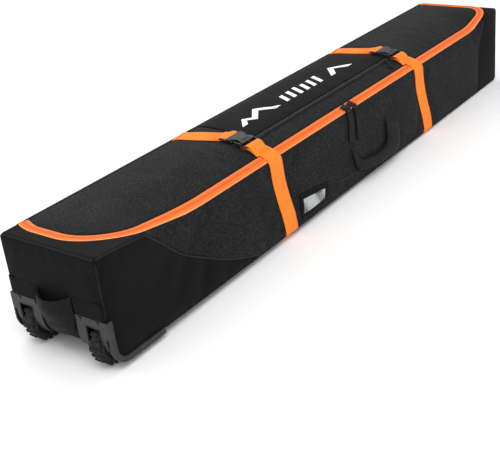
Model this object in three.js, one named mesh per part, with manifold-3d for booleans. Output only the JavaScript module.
// A long rolling snowboard bag: soft box body, zipped top lid, two buckled straps, two corner wheels.
// Millimetres. +X runs from the wheel end to the far end, +Y to the hinge side of the lid, +Z up.
// The origin is on the floor, under the middle of the bag. The bag is drawn level, with its base at
// z = 0, and then tilted a little, because it stands on its wheels and on its far bottom edge.
import * as THREE from "three";
import { mergeVertices } from "three/addons/utils/BufferGeometryUtils.js";
import Module from "manifold-3d";

const wasm = await Module();
wasm.setup();

// ---- driving dimensions ----
const LENGTH = 1900;
const WIDTH = 280;
const HEIGHT = 246; // at the two ends, where the body is square
const WHEEL_DROP = 20; // the wheels reach this far below the base
const WALL = 5;
const SKIN = 1.6; // webbing and zipper tape
const GAP = 0.3; // between pieces that touch
const HALF_L = LENGTH / 2;
const HALF_W = WIDTH / 2;

const CENTRE_DROP = 4; // the lid's middle below the end gussets
const RIGHT_DROP = 46; // opening edge below the lid's middle
const CREST_Y = 25;
const NEAR_BLEND = 370; // the square wheel end softens over this length
const FAR_BLEND = 170;
const LEAN = 18; // the right wall leans in this far at its top, between the ends
const LEAN_LOW = 16;
const LEAN_HIGH = 186;

const ZIP_NEAR_X = -904;
const ZIP_FAR_X = 936;
const ZIP_Y = -105;
const ZIP_NEAR_R = 120;
const ZIP_TURN_IN = 14; // the zipper's wheel end turns in this far as it meets the hinge
const ZIP_FAR_R = 60;
const TAPE = 12; // each half of the zipper tape
const LID_T = 5;
const LID_LEFT_Y = 130;

const STRAP_W = 50;
const STRAP_X = [-306, 440]; // at the bottom of the right wall
const SHOULDER_Z = 192; // where the side webbing gives way to the flap that crosses the lid
const STRAP_SLANT = 0.2; // across the bag each strap runs this much towards the wheel end
const STRAP_RAKE = 0.08; // and up the bag this much
const BUCKLE = { left: 12, split: -15, right: -49, width: 62, height: 12 };

const WHEEL_R = 52;
const WHEEL_W = 30;
const WHEEL_X = -910;
const WHEEL_Y = -100;
const WHEEL_Z = WHEEL_R - WHEEL_DROP;
const AXLE_R = 4;
const WELL_R = 60;
const WELL_HALF_W = 31;
const TILT = Math.atan(WHEEL_DROP / (HALF_L - WHEEL_X));
const REST_FLAT = 60; // length of the flat that the far end rests on

// ---- materials ----
function finish(color, roughness = 0.9, metalness = 0) {
  return new THREE.MeshStandardMaterial({ color, roughness, metalness });
}
const heather = finish(0x303234);
const plainFabric = finish(0x202020);
const tapeOrange = finish(0xf28a4a, 0.8);
const webbingOrange = finish(0xff8428, 0.7);
const webbingBlack = finish(0x1c1c1d, 0.85);
const bracketGrey = finish(0x505050, 0.5);
const blackPlastic = finish(0x1a1a1b, 0.45);
const rubber = finish(0x18181a, 0.95);
const boardGrey = finish(0x3a3a3a, 0.6);
const steel = finish(0xb0b0b0, 0.3, 1);
const clearFilm = finish(0xc8ccd0, 0.15);
const cardWhite = finish(0xe0e0dc, 0.9);

const bag = new THREE.Group();

function add(name, geometry, material) {
  const mesh = new THREE.Mesh(geometry, material);
  mesh.name = name;
  bag.add(mesh);
  return mesh;
}

// ---- solids ----
function toSolid(geometry) {
  const bare = new THREE.BufferGeometry();
  bare.setAttribute("position", geometry.getAttribute("position").clone());
  if (geometry.index) bare.setIndex(geometry.index.clone());
  const merged = mergeVertices(bare, 1e-3);
  return new wasm.Manifold(
    new wasm.Mesh({
      numProp: 3,
      vertProperties: new Float32Array(merged.getAttribute("position").array),
      triVerts: new Uint32Array(merged.index.array),
    }),
  );
}

function toGeometry(solid) {
  const mesh = solid.getMesh();
  const geometry = new THREE.BufferGeometry();
  geometry.setAttribute("position", new THREE.BufferAttribute(mesh.vertProperties, 3));
  geometry.setIndex(new THREE.BufferAttribute(mesh.triVerts, 1));
  return geometry;
}

function cut(geometry, ...tools) {
  let solid = toSolid(geometry);
  for (const tool of tools) solid = solid.subtract(toSolid(tool));
  return toGeometry(solid);
}

function join(...geometries) {
  let solid = toSolid(geometries[0]);
  for (const other of geometries.slice(1)) solid = solid.add(toSolid(other));
  return toGeometry(solid);
}

function common(a, b) {
  return toGeometry(toSolid(a).intersect(toSolid(b)));
}

function box(x0, x1, y0, y1, z0, z1) {
  const geometry = new THREE.BoxGeometry(x1 - x0, y1 - y0, z1 - z0);
  return geometry.translate((x0 + x1) / 2, (y0 + y1) / 2, (z0 + z1) / 2);
}

// A cylinder along Y or X between two stations.
function rodY(radius, x, z, y0, y1, sides = 24) {
  return new THREE.CylinderGeometry(radius, radius, y1 - y0, sides).translate(x, (y0 + y1) / 2, z);
}

function rodX(radius, y, z, x0, x1, sides = 12) {
  const geometry = new THREE.CylinderGeometry(radius, radius, x1 - x0, sides);
  return geometry.rotateZ(Math.PI / 2).translate((x0 + x1) / 2, y, z);
}

function extrude(shape, depth, curveSegments = 6) {
  return new THREE.ExtrudeGeometry(shape, { depth, bevelEnabled: false, curveSegments });
}

// An outline in (x, z), thick from y0 to y1.
function wallXZ(shape, y0, y1) {
  return extrude(shape, y1 - y0).rotateX(Math.PI / 2).translate(0, y1, 0);
}

// An outline in (y, z), thick from x0 to x1.
function wallYZ(shape, x0, x1) {
  const turn = new THREE.Matrix4().makeBasis(
    new THREE.Vector3(0, 1, 0),
    new THREE.Vector3(0, 0, 1),
    new THREE.Vector3(1, 0, 0),
  );
  return extrude(shape, x1 - x0).applyMatrix4(turn).translate(x0, 0, 0);
}

// A closed outline from a line of points and the same line moved sideways by the thickness.
function bandShape(points, thickness) {
  const line = points.map(([a, b]) => new THREE.Vector2(a, b));
  const sides = line.map((point, i) => {
    const before = line[Math.max(i - 1, 0)];
    const after = line[Math.min(i + 1, line.length - 1)];
    const along = after.clone().sub(before).normalize();
    return point.clone().add(new THREE.Vector2(-along.y, along.x).multiplyScalar(thickness));
  });
  return new THREE.Shape([...line, ...sides.reverse()]);
}

function arcPoints(cx, cy, radius, from, to, steps) {
  const points = [];
  for (let i = 0; i <= steps; i += 1) {
    const angle = from + ((to - from) * i) / steps;
    points.push([cx + radius * Math.cos(angle), cy + radius * Math.sin(angle)]);
  }
  return points;
}

// ---- the bag's outer surface ----
function smooth(t) {
  const u = Math.min(Math.max(t, 0), 1);
  return u * u * (3 - 2 * u);
}

// 0 at the square ends, 1 along the soft middle.
function softness(x) {
  return smooth((x + HALF_L) / NEAR_BLEND) * smooth((HALF_L - x) / FAR_BLEND);
}

function topZ(x, y) {
  const right = RIGHT_DROP * (Math.max(CREST_Y - y, 0) / (HALF_W + CREST_Y)) ** 2;
  const centre = CENTRE_DROP * (1 - (Math.max(y - CREST_Y, 0) / (HALF_W - CREST_Y)) ** 2);
  return HEIGHT - softness(x) * (centre + right);
}

// The outer face of the right wall.
function rightY(x, z) {
  return -HALF_W + LEAN * softness(x) * smooth((z - LEAN_LOW) / (LEAN_HIGH - LEAN_LOW));
}

const nearStations = [0, 40, 80, 120, 165, 210, 255, 300, 335, NEAR_BLEND];
const farStations = [FAR_BLEND, 140, 110, 85, 60, 30, 0];
const GRID_X = [...nearStations.map((d) => d - HALF_L), 0, ...farStations.map((d) => HALF_L - d)];
const GRID_Y = [-140, -132, -120, -108, -95, -75, -50, -15, 25, 65, 95, 120, 140];

const GRID_Z = [-20, 10, 16, 50, 84, 118, 152, 186, 215, 290];

// A skin between two sheets over one grid; point(u, v, layer) places each corner.
function gridSolid(us, vs, point) {
  const nu = us.length;
  const nv = vs.length;
  const positions = [];
  for (const layer of [0, 1]) {
    for (const u of us) {
      for (const v of vs) positions.push(...point(u, v, layer));
    }
  }
  const at = (layer, i, j) => layer * nu * nv + i * nv + j;
  const faces = [];
  const quad = (a, b, c, d) => faces.push(a, b, c, a, c, d);
  for (let i = 0; i < nu - 1; i += 1) {
    for (let j = 0; j < nv - 1; j += 1) {
      quad(at(1, i, j), at(1, i + 1, j), at(1, i + 1, j + 1), at(1, i, j + 1));
      quad(at(0, i, j), at(0, i, j + 1), at(0, i + 1, j + 1), at(0, i + 1, j));
    }
    quad(at(0, i, 0), at(0, i + 1, 0), at(1, i + 1, 0), at(1, i, 0));
    quad(at(0, i + 1, nv - 1), at(0, i, nv - 1), at(1, i, nv - 1), at(1, i + 1, nv - 1));
  }
  for (let j = 0; j < nv - 1; j += 1) {
    quad(at(0, 0, j + 1), at(0, 0, j), at(1, 0, j), at(1, 0, j + 1));
    quad(at(0, nu - 1, j), at(0, nu - 1, j + 1), at(1, nu - 1, j + 1), at(1, nu - 1, j));
  }
  const geometry = new THREE.BufferGeometry();
  geometry.setAttribute("position", new THREE.Float32BufferAttribute(positions, 3));
  geometry.setIndex(faces);
  return geometry;
}

// A skin that follows the top surface, from `under` below it to `over` above it.
function topSkin(under, over) {
  const lifts = [-under, over];
  return gridSolid(GRID_X, GRID_Y, (x, y, layer) => [x, y, topZ(x, y) + lifts[layer]]);
}

// A skin that follows the right wall, from `inner` to `outer` outside its face.
function wallSkin(inner, outer) {
  const offsets = [inner, outer];
  return gridSolid(GRID_X, GRID_Z, (x, z, layer) => [x, rightY(x, z) - offsets[layer], z]);
}

// The area inside the zipper's path, drawn in by `inset`, as a tall prism.
function insideZip(inset, leftY = LID_LEFT_Y) {
  const nearX = ZIP_NEAR_X + inset;
  const farX = ZIP_FAR_X - inset;
  const rightEdge = ZIP_Y + inset;
  const nearR = ZIP_NEAR_R - inset;
  const farR = ZIP_FAR_R - inset;
  const shape = new THREE.Shape();
  shape.moveTo(nearX + ZIP_TURN_IN, leftY);
  if (leftY > LID_LEFT_Y) shape.lineTo(nearX + ZIP_TURN_IN, LID_LEFT_Y);
  shape.quadraticCurveTo(nearX + 2, LID_LEFT_Y - 26, nearX, LID_LEFT_Y - 50);
  shape.lineTo(nearX, rightEdge + nearR);
  shape.absarc(nearX + nearR, rightEdge + nearR, nearR, Math.PI, 1.5 * Math.PI);
  shape.absarc(farX - farR, rightEdge + farR, farR, 1.5 * Math.PI, 2 * Math.PI);
  shape.lineTo(farX, leftY);
  return extrude(shape, 2 * HEIGHT, 10);
}

function zipRing(outer, inner) {
  return cut(insideZip(outer), insideZip(inner, LID_LEFT_Y + 10));
}

// ---- body panels ----
const FRONT_X = -HALF_L;
const SIDE_CORNER_R = 46; // bottom corner of the side panels at the wheel end
const END_CORNER_R = 70; // the wheel-end panel rolls under with this radius
const NEAR_SEAM = [
  [-800, 248], [-777, 218], [-746, 185], [-713, 153], [-684, 128], [-625, 93], [-539, 45], [-430, 0],
];
const FAR_SEAM = [[868, 248], [845, 166], [805, 36], [800, 0]];

function shapeOf(points) {
  return new THREE.Shape(points.map(([a, b]) => new THREE.Vector2(a, b)));
}

// A side panel's outline: rounded at the wheel end's bottom corner, the top edge under the skin.
function sideOutline(edgeY) {
  const top = GRID_X.map((x) => [x, topZ(x, edgeY) - GAP]);
  const corner = arcPoints(
    FRONT_X + SIDE_CORNER_R, SIDE_CORNER_R, SIDE_CORNER_R, Math.PI, 1.5 * Math.PI, 6,
  );
  return shapeOf([...corner, [HALF_L, 0], ...top.reverse()]);
}

// Everything on the wheel-end side of a seam, moved along X by `shift`.
function beforeSeam(seam, shift) {
  const line = seam.map(([x, z]) => [x + shift, z]);
  line[0][1] = HEIGHT + 40;
  line[line.length - 1][1] = -40;
  const startX = -HALF_L - 50;
  return wallXZ(shapeOf([[startX, -40], ...line.reverse(), [startX, HEIGHT + 40]]), -200, 200);
}

const rightWall = common(
  wallSkin(-WALL, 0),
  wallXZ(sideOutline(-HALF_W + LEAN + WALL / 2), -HALF_W - 20, -HALF_W + 60),
);
add("side_right_wheel_end", common(rightWall, beforeSeam(NEAR_SEAM, 0)), plainFabric);
add(
  "side_right_middle",
  common(cut(rightWall, beforeSeam(NEAR_SEAM, GAP)), beforeSeam(FAR_SEAM, 0)),
  heather,
);
add("side_right_far", cut(rightWall, beforeSeam(FAR_SEAM, GAP)), plainFabric);
add("side_left_panel", wallXZ(sideOutline(HALF_W), HALF_W - WALL, HALF_W), heather);

const INNER_Y = HALF_W - WALL - GAP;
const wheelCuts = [-1, 1].map((side) => {
  const y = side * Math.abs(WHEEL_Y);
  const half = WELL_HALF_W + 1;
  return box(FRONT_X - 20, WHEEL_X + WELL_R + 4, y - half, y + half, -10, WHEEL_Z + WELL_R + 4);
});

// The wheel-end panel: upright, then rolling under to the base.
const endProfile = [
  [FRONT_X, HEIGHT - 3.5],
  ...arcPoints(FRONT_X + END_CORNER_R, END_CORNER_R, END_CORNER_R, Math.PI, 1.5 * Math.PI, 8),
];
const screwSpots = [[-116, 99], [-66, 99]];
const screwHoles = screwSpots.flatMap(([y, z]) => [
  rodX(2.3, y, z, FRONT_X - 8, FRONT_X + 12),
  rodX(2.3, -y, z, FRONT_X - 8, FRONT_X + 12),
]);
const endPanel = wallXZ(bandShape(endProfile, WALL - 1), -INNER_Y, INNER_Y);
add("wheel_end_panel", cut(endPanel, ...wheelCuts, ...screwHoles), plainFabric);

const boardX = FRONT_X + WALL;
add(
  "wheel_end_board",
  cut(box(boardX, boardX + 2.5, 2 - INNER_Y, INNER_Y - 2, 76, HEIGHT - 12), ...wheelCuts, ...screwHoles),
  boardGrey,
);
add(
  "far_end_panel",
  box(HALF_L - WALL, HALF_L, -INNER_Y, INNER_Y, 3.4, HEIGHT - 4.5),
  plainFabric,
);

// The base, with a flat at its far end that lies on the floor once the bag is tilted.
const baseStart = FRONT_X + END_CORNER_R + 1;
const baseProfile = shapeOf([
  [baseStart, 0],
  [HALF_L - REST_FLAT - 20, 0],
  [HALF_L - REST_FLAT, -REST_FLAT * Math.tan(TILT)],
  [HALF_L, 0],
  [HALF_L, 3],
  [baseStart, 3],
]);
add("base_panel", cut(wallXZ(baseProfile, -INNER_Y, INNER_Y), ...wheelCuts), plainFabric);
add(
  "base_stiffener",
  cut(
    box(baseStart + 6, HALF_L - WALL - 2, -INNER_Y + 4, INNER_Y - 4, 3 + GAP, 6 + GAP),
    ...wheelCuts,
  ),
  boardGrey,
);

const gussetSkin = topSkin(3, 0);
const outsideZip = insideZip(-TAPE - GAP, HALF_W + 20);
const outsideWall = wallSkin(-WALL - GAP, 60);
function gusset(x0, x1) {
  const patch = common(gussetSkin, box(x0, x1, -INNER_Y, INNER_Y, 150, 300));
  return cut(patch, outsideZip, outsideWall);
}
add("top_gusset_wheel_end", gusset(FRONT_X, ZIP_NEAR_X + ZIP_NEAR_R - 14), plainFabric);
add("top_gusset_far", gusset(ZIP_FAR_X - ZIP_FAR_R + 14, HALF_L), plainFabric);

const tapeSkin = topSkin(SKIN, 0);
add("zipper_tape_body", common(tapeSkin, zipRing(-TAPE, -GAP / 2)), tapeOrange);

// ---- lid ----
const lidSkin = topSkin(LID_T, 0);
add("lid_panel", common(lidSkin, insideZip(TAPE + GAP)), heather);
add("zipper_tape_lid", common(tapeSkin, zipRing(GAP / 2, TAPE)), tapeOrange);

const POCKET = { x0: -282, x1: 388, y: -48, width: 14 };
const lidFinish = topSkin(-GAP, 0.9);
add(
  "pocket_zipper_tape",
  common(
    lidFinish,
    box(
      POCKET.x0 + 8, POCKET.x1, POCKET.y - POCKET.width / 2, POCKET.y + POCKET.width / 2, 150, 300,
    ),
  ),
  webbingBlack,
);
const liningSkin = topSkin(LID_T + 4, -LID_T - 2.5);
add(
  "pocket_lining",
  common(liningSkin, box(POCKET.x0 - 10, POCKET.x1 + 10, -90, 115, 150, 300)),
  plainFabric,
);

// ---- compression straps ----
// Points over the lid at x, from y0 to y1, a little above its surface.
function overLid(x, y0, y1, lift) {
  const steps = 8;
  const points = [];
  for (let i = 0; i <= steps; i += 1) {
    const y = y0 + ((y1 - y0) * i) / steps;
    points.push([y, topZ(x, y) + lift]);
  }
  return points;
}

const STRAP_GAP = 0.7;

// Points down the right wall, from z0 to z1, a little outside its face.
function downWall(x, z0, z1, out) {
  const steps = 8;
  const points = [];
  for (let i = 0; i <= steps; i += 1) {
    const z = z0 + ((z1 - z0) * i) / steps;
    points.push([rightY(x, z) - out, z]);
  }
  return points;
}

function slingPoints(x) {
  const leftY = HALF_W + STRAP_GAP;
  return [
    ...downWall(x, SHOULDER_Z, 8, STRAP_GAP),
    [-HALF_W - STRAP_GAP, -STRAP_GAP],
    [leftY, -STRAP_GAP],
    [leftY, topZ(0, HALF_W) - 2],
  ];
}

function strapBand(shape, x, width = STRAP_W) {
  return wallYZ(shape, x - width / 2, x + width / 2);
}

const wallTopY = rightY(0, HEIGHT);
function flapPoints(x) {
  return [
    [wallTopY - STRAP_GAP, SHOULDER_Z + GAP],
    [wallTopY - STRAP_GAP, topZ(x, wallTopY) + 1.2],
    ...overLid(x, wallTopY + 3, BUCKLE.right - 2, 1.2),
  ];
}

// Each strap, with its buckle, lies in one slanting plane.
function slanted(geometry) {
  const slant = new THREE.Matrix4();
  slant.elements[4] = -STRAP_SLANT;
  slant.elements[8] = -STRAP_RAKE;
  slant.elements[12] = STRAP_SLANT * wallTopY;
  return geometry.applyMatrix4(slant);
}

// Buckle halves lie on the lid; the male half's tongue sits in the female half's mouth.
const buckleLow = topZ(0, BUCKLE.left) + 0.8;
const buckleHigh = buckleLow + BUCKLE.height;

function femaleHalf(x) {
  const half = BUCKLE.width / 2;
  const shell = box(x - half, x + half, BUCKLE.right, BUCKLE.split, buckleLow, buckleHigh);
  const mouth = box(
    x - half + 4, x + half - 4, BUCKLE.right + 10, BUCKLE.split + 5, buckleLow + 2.5, buckleHigh - 2.5,
  );
  const slot = box(
    x - STRAP_W / 2 - 1, x + STRAP_W / 2 + 1, BUCKLE.right + 3, BUCKLE.right + 7,
    buckleLow - 5, buckleHigh + 5,
  );
  return cut(shell, mouth, slot);
}

function maleHalf(x) {
  const half = BUCKLE.width / 2;
  const body = box(
    x - half, x + half, BUCKLE.split + GAP, BUCKLE.left, buckleLow + 1, buckleHigh - 1,
  );
  const slot = box(
    x - STRAP_W / 2 - 1, x + STRAP_W / 2 + 1, BUCKLE.left - 11, BUCKLE.left - 4,
    buckleLow - 5, buckleHigh + 5,
  );
  const prongs = [-1, 0, 1].map((place) => {
    const at = x + place * (half - 11);
    return box(
      at - 4, at + 4, BUCKLE.right + 14, BUCKLE.split + 4, buckleLow + 3.2, buckleHigh - 3.2,
    );
  });
  return join(cut(body, slot), ...prongs);
}

STRAP_X.forEach((x, i) => {
  const name = `strap_${i + 1}`;
  const highX = x - 60;
  const rightRun = bandShape(flapPoints(highX), SKIN);
  const leftRun = bandShape(overLid(highX, BUCKLE.left + 2, LID_LEFT_Y, 0.6), SKIN);
  add(`${name}_sling`, slanted(strapBand(bandShape(slingPoints(x), -SKIN), x)), webbingOrange);
  add(`${name}_right_run`, slanted(strapBand(rightRun, x)), webbingOrange);
  add(`${name}_left_run`, slanted(strapBand(leftRun, x)), webbingOrange);
  add(`buckle_${i + 1}_female`, slanted(femaleHalf(x)), blackPlastic);
  add(`buckle_${i + 1}_male`, slanted(maleHalf(x)), blackPlastic);
});

// ---- zipper sliders and pulls ----
const ZIP_TILT = Math.atan((topZ(0, ZIP_Y + 2) - topZ(0, ZIP_Y - 2)) / 4);
const PULL_Y = rightY(0, 130) - 4;

function sliderBody(width, length, height) {
  const plate = box(-length / 2, length / 2, -width / 2, width / 2, 0.5, height);
  const bridge = box(-length / 4, length / 4, -width / 2 + 2, -width / 2 + 5, height, height + 3);
  return join(plate, bridge);
}

function mainSlider(name, x) {
  const slider = add(name, sliderBody(13, 17, 5), blackPlastic);
  slider.position.set(x, ZIP_Y, topZ(0, ZIP_Y));
  slider.rotation.x = ZIP_TILT;
}

// A fabric pull: over the edge of the zipper and down the side of the bag.
function mainPull(name, x, width, bottomZ) {
  const points = [
    [ZIP_Y - 9.2, topZ(0, ZIP_Y) + 1.4],
    [wallTopY - 1.5, topZ(0, wallTopY) + 3.4],
    [PULL_Y, topZ(0, wallTopY) - 16],
    [PULL_Y, bottomZ],
  ];
  add(name, wallYZ(bandShape(points, -2.4), x - width / 2, x + width / 2), webbingBlack);
}

const SLIDER_NEAR_X = 23;
const SLIDER_FAR_X = 53;
mainSlider("main_slider_near", SLIDER_NEAR_X);
mainSlider("main_slider_far", SLIDER_FAR_X);
mainPull("main_pull_near", SLIDER_NEAR_X, 25, 127);
mainPull("main_pull_far", SLIDER_FAR_X, 20, 121);

const POCKET_SLIDER_X = 358;
const pocketSlider = add("pocket_slider", sliderBody(9, 14, 4), blackPlastic);
pocketSlider.position.set(POCKET_SLIDER_X, POCKET.y, topZ(0, POCKET.y) + 1.8);
const pocketPullPoints = overLid(0, POCKET.y - 46, POCKET.y - 6, 2.9);
add(
  "pocket_pull",
  wallYZ(bandShape(pocketPullPoints, 2), POCKET_SLIDER_X - 4.5, POCKET_SLIDER_X + 4.5),
  webbingBlack,
);

// ---- handles ----
// The side handle is drawn from its hinge line down, and tilted to lie along the leaning wall.
const SIDE_HANDLE = { topZ: 102, thick: 5, tilt: 0.11 };
const handleOuter = [
  [6, 0], [5, -22], [7, -40], [13, -55], [35, -64], [65, -71], [100, -76], [136, -81],
  [168, -84], [198, -85], [222, -82], [237, -71], [245, -56], [257, -24], [262, 0],
];
const handleInner = [
  [193, 0], [187, -14], [183, -26], [175, -36], [163, -42], [147, -46], [128, -47.5],
  [106, -47.5], [82, -45], [60, -42], [42, -38], [28, -30], [20, -18], [20, 0],
];
const sideHandle = add(
  "side_handle",
  wallXZ(shapeOf([...handleOuter, ...handleInner]), -SIDE_HANDLE.thick / 2, SIDE_HANDLE.thick / 2),
  webbingBlack,
);
sideHandle.position.set(0, rightY(0, SIDE_HANDLE.topZ) - 6, SIDE_HANDLE.topZ);
sideHandle.rotation.x = -SIDE_HANDLE.tilt;

// A thin patch sewn on the right wall.
function wallPatch(x0, x1, z0, z1, inner, outer) {
  return common(wallSkin(inner, outer), box(x0, x1, -200, 0, z0, z1));
}
const anchorLow = SIDE_HANDLE.topZ + 3;
add("side_handle_anchor_near", wallPatch(4, 24, anchorLow, 124, GAP, 2.5), webbingBlack);
add("side_handle_anchor_far", wallPatch(195, 262, anchorLow, 122, GAP, 2.5), webbingBlack);

// A webbing loop across an end of the bag, bowed away from it by `bow` over a chord in y.
const END_HANDLE = { half: 52, topZ: 146, lowZ: 38, bow: 30, thick: 4 };
const TOW_HANDLE = { half: 75, topZ: 150, lowZ: 64, bow: 30, thick: 4 };

function bowedLoop({ half, bow, thick, topZ: high, lowZ: low }, outline, faceX, out) {
  const steps = 10;
  const points = [];
  for (let i = 0; i <= steps; i += 1) {
    const y = half * ((2 * i) / steps - 1);
    points.push([faceX + out * bow * (1 - (y / half) ** 2), y]);
  }
  const plan = bandShape(points, -out * thick);
  const band = extrude(plan, high - low + 20).translate(0, 0, low - 10);
  return common(band, wallYZ(shapeOf(outline), faceX - 2 * bow, faceX + 2 * bow));
}

const endHandleOutline = [
  [-52, 146], [-44, 141], [-20, 138], [20, 138], [44, 141], [52, 146],
  [52, 105], [44, 60], [28, 40], [-28, 38], [-44, 58], [-52, 105],
];
add(
  "end_handle",
  bowedLoop(END_HANDLE, endHandleOutline, FRONT_X - 3.4, -1),
  webbingBlack,
);
for (const [side, y0, y1] of [["right", -138, -54], ["left", 54, 138]]) {
  add(
    `end_handle_anchor_${side}`,
    box(FRONT_X - 3, FRONT_X - GAP, y0, y1, 105, END_HANDLE.topZ),
    webbingBlack,
  );
}

const towOutline = [
  [-75, 150], [-75, 94], [-50, 66], [50, 66], [75, 94], [75, 150],
  [48, 150], [42, 112], [26, 100], [-26, 100], [-42, 112], [-48, 150],
];
add("tow_handle", bowedLoop(TOW_HANDLE, towOutline, HALF_L + 2, 1), webbingBlack);

// ---- identity window ----
const WINDOW = { x0: -257, x1: -126, z0: 15, z1: 80, border: 12 };

// A patch inside the window's edge, drawn in by `inset` on every side.
function windowPatch(inset, inner, outer) {
  const { x0, x1, z0, z1 } = WINDOW;
  return wallPatch(x0 + inset, x1 - inset, z0 + inset, z1 - inset, inner, outer);
}
add(
  "id_window_frame",
  cut(windowPatch(0, GAP, 3.3), windowPatch(WINDOW.border, -9, 9)),
  webbingBlack,
);
add("id_window_card", windowPatch(WINDOW.border + 2, GAP, 0.9), cardWhite);
add("id_window_film", windowPatch(WINDOW.border + GAP, 1.3, 2.1), clearFilm);

// ---- wheel corners ----
const BRACKET = { topZ: 105, lowZ: -6.5, out: 4.5, rearX: -795, plateT: 3.2 };

// The moulded corner bracket on the right: C-shaped side band, front plate with legs, foot flange.
function bracket() {
  const x = FRONT_X - 3.6;
  const outerR = 50;
  const innerR = 28;
  const band = [
    [x, BRACKET.topZ],
    ...arcPoints(x + outerR, BRACKET.lowZ + outerR, outerR, Math.PI, 1.5 * Math.PI, 8),
    [BRACKET.rearX, BRACKET.lowZ],
    [BRACKET.rearX, BRACKET.lowZ + 14],
    ...arcPoints(x + 17 + innerR, BRACKET.lowZ + 14 + innerR, innerR, 1.5 * Math.PI, Math.PI, 6),
    [x + 15, BRACKET.topZ],
  ];
  const side = wallXZ(shapeOf(band), -HALF_W - BRACKET.out, -HALF_W - GAP);
  const plateLine = [
    [x, BRACKET.topZ],
    ...arcPoints(x + 62, 62, 62, Math.PI, 1.24 * Math.PI, 5),
  ];
  const plate = wallXZ(bandShape(plateLine, BRACKET.plateT), -INNER_Y, -54);
  const wrap = box(
    x, x + BRACKET.plateT, -HALF_W - BRACKET.out, -INNER_Y + 1, outerR + 15, BRACKET.topZ,
  );
  const window = box(x - 20, x + 40, WHEEL_Y - 19, WHEEL_Y + 19, -30, 84);
  const footZ = [BRACKET.lowZ, BRACKET.lowZ + 3];
  const foot = box(x + outerR, BRACKET.rearX, -HALF_W - BRACKET.out, -HALF_W + 10, ...footZ);
  return join(cut(plate, window, ...screwHoles), wrap, side, foot);
}

// The arched wheel well inside the bag, with a cheek on each side that carries the axle.
function well() {
  const low = 8;
  const y0 = WHEEL_Y - WELL_HALF_W;
  const y1 = WHEEL_Y + WELL_HALF_W;
  return cut(
    rodY(WELL_R + 3, WHEEL_X, WHEEL_Z, y0, y1, 32),
    rodY(WELL_R, WHEEL_X, WHEEL_Z, y0 + 3, y1 - 3, 32),
    box(-1000, FRONT_X + WALL + 3, -200, 0, -20, 200),
    box(-1000, FRONT_X + 22, -200, 0, -60, 52),
    box(-1000, -700, -200, 0, -60, low),
    rodY(AXLE_R + GAP, WHEEL_X, WHEEL_Z, y0 - 5, y1 + 5, 16),
  );
}

// A chunky tyre: a ring with blocks around it.
function tyre() {
  const half = WHEEL_W / 2;
  const ringR = WHEEL_R - 5;
  const ring = cut(
    rodY(ringR, WHEEL_X, WHEEL_Z, WHEEL_Y - half + 1.5, WHEEL_Y + half - 1.5, 28),
    rodY(32, WHEEL_X, WHEEL_Z, WHEEL_Y - half - 5, WHEEL_Y + half + 5, 28),
  );
  const blocks = [];
  const count = 14;
  for (let i = 0; i < count; i += 1) {
    const side = i % 2 ? 1 : -1;
    const block = new THREE.BoxGeometry(13, 17, 8);
    block.translate(0, (side * (WHEEL_W - 17)) / 2, WHEEL_R - 4.1);
    block.rotateY((2 * Math.PI * (i + 0.5)) / count);
    blocks.push(block.translate(WHEEL_X, WHEEL_Y, WHEEL_Z));
  }
  return join(ring, ...blocks);
}

function hub() {
  const rimR = 32 - GAP;
  const half = WHEEL_W / 2;
  const rim = cut(
    rodY(rimR, WHEEL_X, WHEEL_Z, WHEEL_Y - half + 2, WHEEL_Y + half - 2, 28),
    rodY(26, WHEEL_X, WHEEL_Z, WHEEL_Y - half - 5, WHEEL_Y - 4, 24),
    rodY(26, WHEEL_X, WHEEL_Z, WHEEL_Y + 4, WHEEL_Y + half + 5, 24),
  );
  const boss = rodY(11, WHEEL_X, WHEEL_Z, WHEEL_Y - half - 2, WHEEL_Y + half + 2, 20);
  const bore = rodY(7 + GAP, WHEEL_X, WHEEL_Z, WHEEL_Y - half - 9, WHEEL_Y + half + 9, 20);
  return cut(join(rim, boss), bore);
}

function bush() {
  const half = WHEEL_W / 2 + 2;
  return cut(
    rodY(7, WHEEL_X, WHEEL_Z, WHEEL_Y - half, WHEEL_Y + half, 20),
    rodY(AXLE_R + GAP, WHEEL_X, WHEEL_Z, WHEEL_Y - half - 5, WHEEL_Y + half + 5, 16),
  );
}

function axle() {
  const reach = WELL_HALF_W + 1;
  const head = rodY(7, WHEEL_X, WHEEL_Z, WHEEL_Y + reach, WHEEL_Y + reach + 3, 6);
  const shank = rodY(AXLE_R, WHEEL_X, WHEEL_Z, WHEEL_Y - reach, WHEEL_Y + reach + 1, 16);
  return join(shank, head);
}

function screw([y, z]) {
  const head = rodX(4.2, y, z, FRONT_X - 6, FRONT_X - 3.9);
  const shank = rodX(1.9, y, z, FRONT_X - 5, FRONT_X + 9, 8);
  return join(head, shank);
}

const wheelCorner = {
  wheel_bracket: [bracket(), bracketGrey],
  wheel_well: [well(), blackPlastic],
  tyre: [tyre(), rubber],
  hub: [hub(), blackPlastic],
  bush: [bush(), boardGrey],
  axle: [axle(), steel],
  bracket_screw_outer: [screw(screwSpots[0]), steel],
  bracket_screw_inner: [screw(screwSpots[1]), steel],
};
for (const [piece, [geometry, material]] of Object.entries(wheelCorner)) {
  add(`${piece}_right`, geometry, material);
  add(`${piece}_left`, geometry, material).scale.y = -1;
}

// Stand the bag on its wheels and its far bottom edge.
bag.rotation.y = TILT;
bag.position.z = HALF_L * Math.sin(TILT);

const part = new THREE.Group();
part.add(bag);
export default part;
